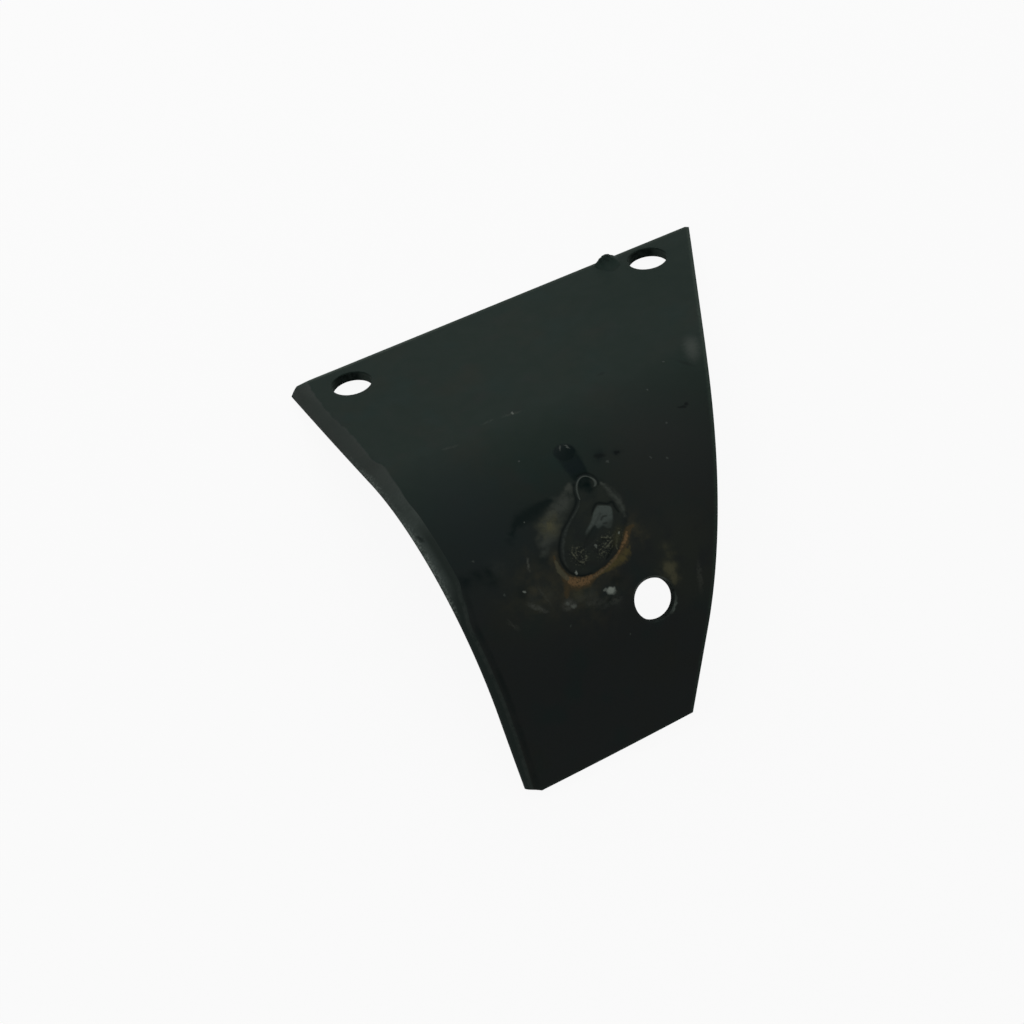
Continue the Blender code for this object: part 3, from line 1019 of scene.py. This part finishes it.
# Wet dark paint, with painted shade in the hollow of the hook.
coat.lay((0.0001, 0.0054, 0.0052), wet_and_shade * 0.96)
tail_gap = maths("ABSOLUTE", down - 106.8, 0)
coat.lay((0.005, 0.01, 0.013), wet_and_shade * fall(tail_gap, 1.2, 4.0, 0.5))
rust = attribute("rust") + (grit - 0.5) * attribute("rust") * 1.4
fresh = attribute("fresh") * rise(grit, 0.3, 0.6)
ochre = attribute("ochre") * rise(cloud(2.2, 4, 23, 0.6), 0.05, 0.65)
coat.lay((0.072, 0.056, 0.031), rise(rust, 0.1, 0.95))
coat.lay((0.112, 0.092, 0.037), rise(ochre, 0.1, 0.9, 0.9))
coat.lay((0.2, 0.125, 0.06), rise(fresh, 0.05, 0.9))
coat.lay((0.095, 0.096, 0.064), rise(attribute("pale"), 0.1, 0.95, 0.75))
# Painted shade in the run's creases and along its border.
coat.lay((0.0035, 0.0065, 0.006), attribute("crease_shade") * 0.85)
# Painted sheen on the skin of the run.
skin_sheen_grain = rise(cloud(1.4, 3, 62, 0.6), 0.05, 0.5, 0.95)
coat.lay((0.08, 0.098, 0.088), attribute("skin") * skin_sheen_grain)
# Painted highlight on the raised threads.
coat.lay((0.085, 0.1, 0.088), rise(attribute("thread_highlight"), 0.15, 1.0, 0.9))
# Painted glints on the crumbs of the bubbles.
coat.lay((0.115, 0.122, 0.086), rise(attribute("crumb_glint"), 0.2, 0.85, 0.95))
foam = cloud(0.6, 3, 88, 0.6)
print("paint nodes with the marks:", len(tree.nodes))

# %% [markdown]
# ## Chips, scuffs and specks
# Small chips show bare metal, scuffs are pale and dry, and specks of dust and grit lie over the whole
# face. Painted glints sit among the chips and on the bubbles, and painted highlights lie at the end of
# the bend and on the rim of the low hole. Each is an oval with its own place, size and turn on the blank.

# %% Small marks
# Two bare chips, and painted glints on the drip's head, the bubbles, the scuff and the bend.
chips_and_glints = spots(
    (58.7, 154.3, 1.6, 1.25, 20), (57.0, 153.0, 0.8, 0.6, 0, 0.5), (40.2, 119.2, 0.35, 0.35, 0, 0.25),
    (29.0, 142.3, 0.5, 0.4, 0, 0.6), (66.3, 97.2, 0.35, 1.2, 20, 0.16),
    (68.9, 97.9, 0.35, 1.2, -20, 0.2), (49.2, 143.4, 0.45, 0.6, 0, 0.8),
    (59.9, 137.5, 0.45, 0.6, 0, 0.4), (70.0, 136.4, 0.45, 0.45, 0, 0.45),
    (43.7, 154.1, 0.9, 0.8, 0, 0.3), (41.8, 152.3, 0.7, 0.6, 0, 0.22),
    (60.5, 70.9, 0.4, 0.8, 0, 0.3),
)
scuffs = spots(
    (42.2, 152.9, 2.5, 2.0, 0, 0.9), (59.1, 158.1, 2.2, 1.2, 0, 0.5),
    (31.0, 149.3, 3.6, 1.0, 45, 0.9), (34.4, 134.0, 0.5, 2.4, 15, 1.0),
    (50.6, 155.2, 2.8, 1.4, 0, 0.45), (20.3, 151.6, 0.5, 2.6, -22, 0.4),
    (35.0, 146.4, 0.45, 4.0, -15, 0.35), (54.6, 158.4, 1.6, 1.0, 0, 0.3),
    (59.7, 71.0, 3.5, 0.7, 10, 0.2), (50.6, 70.0, 2.5, 0.7, 0, 0.2),
    (32.7, 75.5, 3.0, 0.8, 10, 0.2), (20.4, 151.8, 2.5, 0.6, 50, 0.3),
    (91.9, 162.5, 0.9, 4.8, 14, 0.45, 0.8), (47.5, 152.6, 3.4, 1.2, 10, 0.35, 0.8),
    (53.5, 156.6, 2.6, 1.0, -10, 0.35, 0.8),
)
# Painted highlight at the right end of the bend.
bend_highlight = spot(133.5, 76.0, 2.4, 6.0, 22, 0.6, 0.95)
SPECK = 0.4
specks = spots(*[(*centre, SPECK) for centre in (
    (50.5, 95.4), (78.8, 110.1), (93.9, 115.3), (99.2, 118.1), (40.0, 160.1), (60.2, 171.8),
    (106.2, 104.9), (120.7, 77.1), (108.0, 87.6), (16.7, 125.3), (21.9, 140.6))])
scattered = rise(cloud(0.45, 1, 47), 0.79, 0.84, 0.5)
dark_marks = spots(
    (77.4, 106.7, 2.0, 1.0, 20, 0.7), (83.7, 108.3, 0.9, 0.9, 0, 0.8),
    (115.0, 101.3, 1.8, 0.6, 15, 0.7), (116.9, 100.8, 0.9, 0.6, 0, 0.8),
    (98.4, 69.4, 2.0, 0.6, 0, 0.3), (127.0, 82.6, 3.5, 0.8, 60, 0.35),
    (58.8, 157.2, 3.0, 0.5, 5, 0.5),
)
# Froth of the bubbles: dark specks, and bright specks that are painted glints.
froth_glints = spots((52.8, 138.2, 3.2, 3.8), (63.6, 138.6, 3.0, 5.2, 62), (69.4, 137.2, 1.6, 2.6, 30))
coat.lay((0.006, 0.0085, 0.007), froth_glints * fall(foam, 0.36, 0.46, 0.75))
coat.lay((0.1, 0.108, 0.076), froth_glints * rise(foam, 0.55, 0.64, 0.8))
yellowed = spot(68.6, 137.6, 1.6, 3.6, 38, 0.75, 0.9)
coat.lay((0.045, 0.047, 0.026), yellowed * outer)
coat.lay((0.003, 0.005, 0.005), dark_marks * outer)
coat.lay((0.068, 0.079, 0.07), bend_highlight * outer)
scuffs = scuffs * rise(cloud(1.2, 4, 91, 0.7), 0.3, 0.6)
coat.lay((0.074, 0.08, 0.068), scuffs * outer)
coat.lay((0.05, 0.06, 0.054), most(specks, scattered) * outer)
tan = spots((82.0, 155.4, 1.7, 2.2, -25, 0.9), (82.6, 159.0, 1.2, 2.2, 12, 0.75))
coat.lay((0.088, 0.086, 0.052), tan * rise(cloud(2, 3, 83), 0.2, 0.5))
# Painted highlight where the rounded rim of the low hole catches the light.
rim_crescent_highlight = spots((79.0, 168.9, 0.75, 2.3, 38, 0.9), (80.7, 165.9, 0.4, 1.9, 12, 0.35))
coat.lay((0.115, 0.138, 0.12), rim_crescent_highlight * outer)
# Painted highlight on a ring round the low hole's rim.
low_centre = (LOW_HOLE.x / MM, LOW_HOLE.y / MM, 0)
values = {0: place, 1: low_centre}
low_gap = node("VectorMath", {"operation": "DISTANCE"}, values, "Value")
chamfer_reach = HOLE_RADIUS / MM + 0.4
chamfer_highlight = fall(maths("ABSOLUTE", low_gap - chamfer_reach, 0), 0.1, 0.6, 0.8) * fall(down, 156.5, 161.5)
coat.lay((0.125, 0.14, 0.125), chamfer_highlight * outer * rise(cloud(1.4, 3, 53), 0.2, 0.5))
# Bare metal of the chips, and painted glints.
coat.lay((0.29, 0.325, 0.285), chips_and_glints * outer)
print("paint nodes with the small marks:", len(tree.nodes))

# %% [markdown]
# ## Ground strip, rims and back
# The grind left coarser metal under the paint. Its upper half is painted lighter as a painted sheen,
# and a burr along its inner border is a painted highlight with a painted shadow beside it. The walls
# of the holes are painted dark as painted shade, and their lit ends painted lighter. Rims are rubbed a
# little and painted lighter as a highlight along their rounding, and the spatter bead is painted
# lighter to offset its own shade. The back is out of view and gets the same paint with blooms of
# light rust.

# %% Ground strip and rims
lip_gap = attribute("lip")
front_side = fall(deep, 3.85, 3.98)
upper = fall(down, 124, 142)
strip_grain = rise(cloud(0.7, 4, 57, 0.7), 0.35, 0.68)
high_up = fall(down, 85, 112)
ragged = (cloud(4.5, 2, 12) - 0.5) * fall(down, 30, 100) * 2.0
lip_line = (lip_gap + ragged) * (1 - 0.8 * high_up) - 0.08 * high_up + 0.45 * rise(down, 138, 147)
on_grind = fall(lip_line, -0.15, 0.05) * front_side
coat.lay((0.0235, 0.0335, 0.03), on_grind)
# Painted sheen: the upper half of the strip is painted lighter.
upper_strip_sheen = on_grind * upper * (0.65 + 0.35 * strip_grain)
coat.lay((0.04, 0.047, 0.042), upper_strip_sheen)
coat.lay((0.07, 0.088, 0.08), upper_strip_sheen * rise(down, 62, 118))
shaded = on_grind * rise(lip_gap, -4.4, -1.6) * rise(down, 98, 112) * fall(down, 138, 150)
coat.lay((0.0235, 0.032, 0.0285), shaded * 0.95)
flecked = on_grind * rise(deep, 1.7, 3.0) * rise(down, 44, 70) * fall(down, 134, 146)
flecked = flecked * (0.15 + 0.85 * rise(cloud(0.9, 3, 7, 0.6), 0.46, 0.57))
flecked = flecked * (0.5 + 0.5 * rise(down, 96, 112))
coat.lay((0.175, 0.208, 0.188), flecked)
patchy = upper_strip_sheen * rise(cloud(7, 3, 97), 0.45, 0.65, 0.5)
coat.lay((0.03, 0.04, 0.035), patchy)
nick = spot(4.0, 108.5, 0.8, 2.0, -20, 0.8)
coat.lay((0.015, 0.022, 0.019), nick * on_grind)
# Painted shade: the walls of the holes are painted dark.
WALL_REACH = 9.5
shaded_hole_wall = rise(deep, 0.35, 0.8) * fall(deep, 3.7, 3.95) * spots(
    *[(centre.x / MM, centre.y / MM, WALL_REACH) for centre, rim in HOLE_RIMS])
coat.lay((0.0055, 0.0085, 0.007), shaded_hole_wall)
# Painted light on the ends of the hole walls that face the lamps.
lit_ends = most(
    fall(across, 14.2, 18.0), rise(across, 24.8, 27.6) * fall(across, 144.2, 148.0),
    rise(across, 154.8, 157.6))
coat.lay((0.08, 0.106, 0.09), lit_ends * shaded_hole_wall * fall(down, 22, 26))
# Painted highlight along the inner border of the grind.
burr_highlight = fall(maths("ABSOLUTE", lip_gap + 0.95, 0), 0.25, 0.95) * rise(down, 118, 145) * front_side
coat.lay((0.04, 0.05, 0.045), burr_highlight * rise(cloud(2.2, 4, 64, 0.6), 0.25, 0.6))
# Painted shadow just inside the grind's lip.
lip_shadow = fall(maths("ABSOLUTE", lip_gap - 1.3, 0), 0.2, 1.6, 0.6) * rise(down, 125, 150) * outer
coat.lay((0.006, 0.011, 0.01), lip_shadow * rise(cloud(12, 4, 52, 0.6), 0.25, 0.65))
side_gap = from_side(tip_end, side_top) + (cloud(2.4, 3, 67, 0.6) - 0.5) * 1.2
wide_gap = from_side(wide_end, edge_top) + (cloud(2.4, 3, 68, 0.6) - 0.5) * 1.2
tip_gap = from_side(tip_start, tip_end) + (cloud(1.8, 3, 69, 0.6) - 0.5) * 0.6
# Rims are worn, and also painted lighter as a painted highlight, most on the left of the top rim.
worn_and_lit_rims = outer * most(
    fall(side_gap, 0.3, 1.8, 0.9), fall(wide_gap, 0.4, 2.1, 0.9), fall(tip_gap, 0.1, 0.9, 0.7))
worn_and_lit_rims = worn_and_lit_rims * (0.55 + 0.45 * rise(cloud(1, 3, 73), 0.35, 0.6))
coat.lay((0.033, 0.049, 0.039), worn_and_lit_rims)
worn_and_lit_top_rim = fall(wide_gap, 0.5, 2.0, 0.55) * fall(across, 48, 84) * outer
coat.lay((0.056, 0.074, 0.064), worn_and_lit_top_rim)
# Rubbed rounded rims, painted lighter as a highlight as well.
rubbed_and_lit_rims = rise(attribute("rim"), 0.05, 0.8, 0.6) * rise(cloud(1.5, 4, 29, 0.7), 0.35, 0.65)
coat.lay((0.034, 0.047, 0.0415), rubbed_and_lit_rims)
# Painted light: the bead is painted lighter to offset the shade on its front.
lightened_bead = fall(deep, -0.6, -0.1) * fall(down, 11, 14) * rise(across, 120, 125)
coat.lay((0.015, 0.027, 0.022), lightened_bead)
spattered = lightened_bead * fall(deep, -2.0, -1.0) * rise(cloud(1.2, 3, 76), 0.45, 0.58, 0.8)
coat.lay((0.009, 0.016, 0.0135), spattered)
bloom = rise(cloud(7, 5, 19, 0.7), 0.52, 0.66, 0.75) * back
coat.lay((0.052, 0.026, 0.011), bloom)
tree.links.new(coat.colour.socket, shader.inputs["Base Color"])
print("paint nodes with the grind:", len(tree.nodes))

# %% [markdown]
# ## Gloss and grain
# Wet paint is smoother than dusty paint, and rust is rough. A fine bump gives the dip its grain and
# the rust its crust.

# %% Gloss and grain
GLOSS_LEVEL = 0.03
BUMP_STRENGTH = 0.35
BUMP_HEIGHT = 0.00006

roughness = 0.42 + 0.14 * cloud(6, 3, 40) - 0.22 * wet_and_shade + 0.3 * rise(rust, 0.2, 0.6) + 0.2 * bloom + 0.4 * shaded_hole_wall
tree.links.new(roughness.socket, shader.inputs["Roughness"])
shader.inputs["Specular IOR Level"].default_value = GLOSS_LEVEL
crust = cloud(0.5, 3, 11) + grit * rise(rust, 0.1, 0.5) * 2 + bloom * grit
values = {"Strength": BUMP_STRENGTH, "Distance": BUMP_HEIGHT, "Height": crust}
bump = node("Bump", {}, values, "Normal")
tree.links.new(bump.socket, shader.inputs["Normal"])
blade_mesh.materials.append(paint)
print("paint nodes:", len(tree.nodes))

# %% [markdown]
# ## Floor
# The floor is plain and white, lit evenly, and keeps the blade's soft shadow. To the camera it
# shines a little by itself, so that it looks white without more light falling on the blade.

# %% Floor
FLOOR_SIZE = 12.0
FLOOR_SELF_LIT = 0.93
FLOOR_COLOUR = (0.8, 0.8, 0.8, 1)
WHITE = (1, 1, 1, 1)

floor_mesh = bmesh.new()
bmesh.ops.create_grid(floor_mesh, x_segments=1, y_segments=1, size=FLOOR_SIZE / 2)
floor_data = bpy.data.meshes.new("floor")
floor_mesh.to_mesh(floor_data)
floor_mesh.free()
floor = placed("floor", floor_data)
floor_paint = bpy.data.materials.new("white_floor")
floor_paint.use_nodes = True
floor_tree = floor_paint.node_tree
floor_tree.nodes.remove(floor_tree.nodes["Principled BSDF"])
floor_start = Mask(floor_tree)


def seen_rays(start):
    """1 for rays that show a thing directly, in a reflection or through glass."""
    camera = start.node("LightPath", {}, {}, "Is Camera Ray")
    glossy = start.node("LightPath", {}, {}, "Is Glossy Ray")
    through = start.node("LightPath", {}, {}, "Is Transmission Ray")
    either = start.maths("MAXIMUM", camera, glossy)
    return start.maths("MAXIMUM", either, through)


matt = floor_start.node("BsdfDiffuse", {}, {"Color": FLOOR_COLOUR})
glow = floor_start.node("Emission", {}, {"Color": WHITE, "Strength": 1.0})
share = seen_rays(floor_start) * FLOOR_SELF_LIT
mixed = floor_start.node("MixShader", {}, {0: share, 1: matt, 2: glow})
floor_tree.links.new(mixed.socket, floor_tree.nodes["Material Output"].inputs["Surface"])
floor_data.materials.append(floor_paint)
print("floor, metres:", FLOOR_SIZE)

# %% [markdown]
# ## Room
# The room is an even white that fills the shadows. Like the floor, it looks fully white to the
# camera and in reflections, and lights the blade with less than that.

# %% World
WORLD_LEVEL = 0.3

world = bpy.data.worlds.new("studio")
scene.world = world
world.use_nodes = True
world_start = Mask(world.node_tree)
level = WORLD_LEVEL + (1 - WORLD_LEVEL) * seen_rays(world_start)
world.node_tree.links.new(level.socket, world.node_tree.nodes["Background"].inputs["Strength"])
world.node_tree.nodes["Background"].inputs["Color"].default_value = WHITE
print("world level for matt surfaces:", WORLD_LEVEL)

# %% [markdown]
# ## Lamps
# Two broad lamps stand behind the wide end. They light the flat band and leave the bend darker, as
# in the photo. Small lamps would give hard borders to light and shadow, which the photo lacks.

# %% Lamps
LAMP_WIDTH = 0.8
LAMP_AIM = Vector((0, 0, 0.02))
KEY_PLACE = Vector((0.0, 0.85, 0.85))
KEY_POWER = 3.6
BACK_PLACE = Vector((0.3, 1.15, 0.3))
BACK_POWER = 2.7


def softbox(name, place, power):
    """A square lamp that faces the blade."""
    lamp = bpy.data.lights.new(name, "AREA")
    lamp.size = LAMP_WIDTH
    lamp.energy = power
    thing = placed(name, lamp)
    thing.location = place
    thing.rotation_mode = "QUATERNION"
    thing.rotation_quaternion = (LAMP_AIM - place).to_track_quat("-Z", "Y")


softbox("key_lamp", KEY_PLACE, KEY_POWER)
softbox("back_lamp", BACK_PLACE, BACK_POWER)
print("lamps:", sum(thing.type == "LIGHT" for thing in scene.objects))

# %% [markdown]
# ## Camera
# The camera looks steeply down, a little rolled. Turn, height, distance and lens are those at which
# the outline and the three holes fall where the photo has them.

# %% Camera
CAMERA_AIM = Vector((-0.04087, 0.00123, 0.025))
CAMERA_DISTANCE = 1.09226
CAMERA_TURN = radians(37.683)
CAMERA_ELEVATION = radians(63.176)
CAMERA_ROLL = radians(11.523)
CAMERA_LENS = 104.7

camera_data = bpy.data.cameras.new("camera")
camera_data.lens = CAMERA_LENS
camera_data.sensor_width = 36
camera_data.clip_start = 0.01
camera_data.clip_end = 50
camera = placed("camera", camera_data)
level_part = cos(CAMERA_ELEVATION)
forward = Vector((sin(CAMERA_TURN) * level_part, cos(CAMERA_TURN) * level_part, -sin(CAMERA_ELEVATION)))
camera.location = CAMERA_AIM - forward * CAMERA_DISTANCE
camera.rotation_mode = "QUATERNION"
camera.rotation_quaternion = forward.to_track_quat("-Z", "Y") @ Quaternion((0, 0, 1), CAMERA_ROLL)
scene.camera = camera
scene.view_settings.view_transform = "Standard"
print("camera right:", [round(v, 4) for v in camera.rotation_quaternion @ Vector((1, 0, 0))])
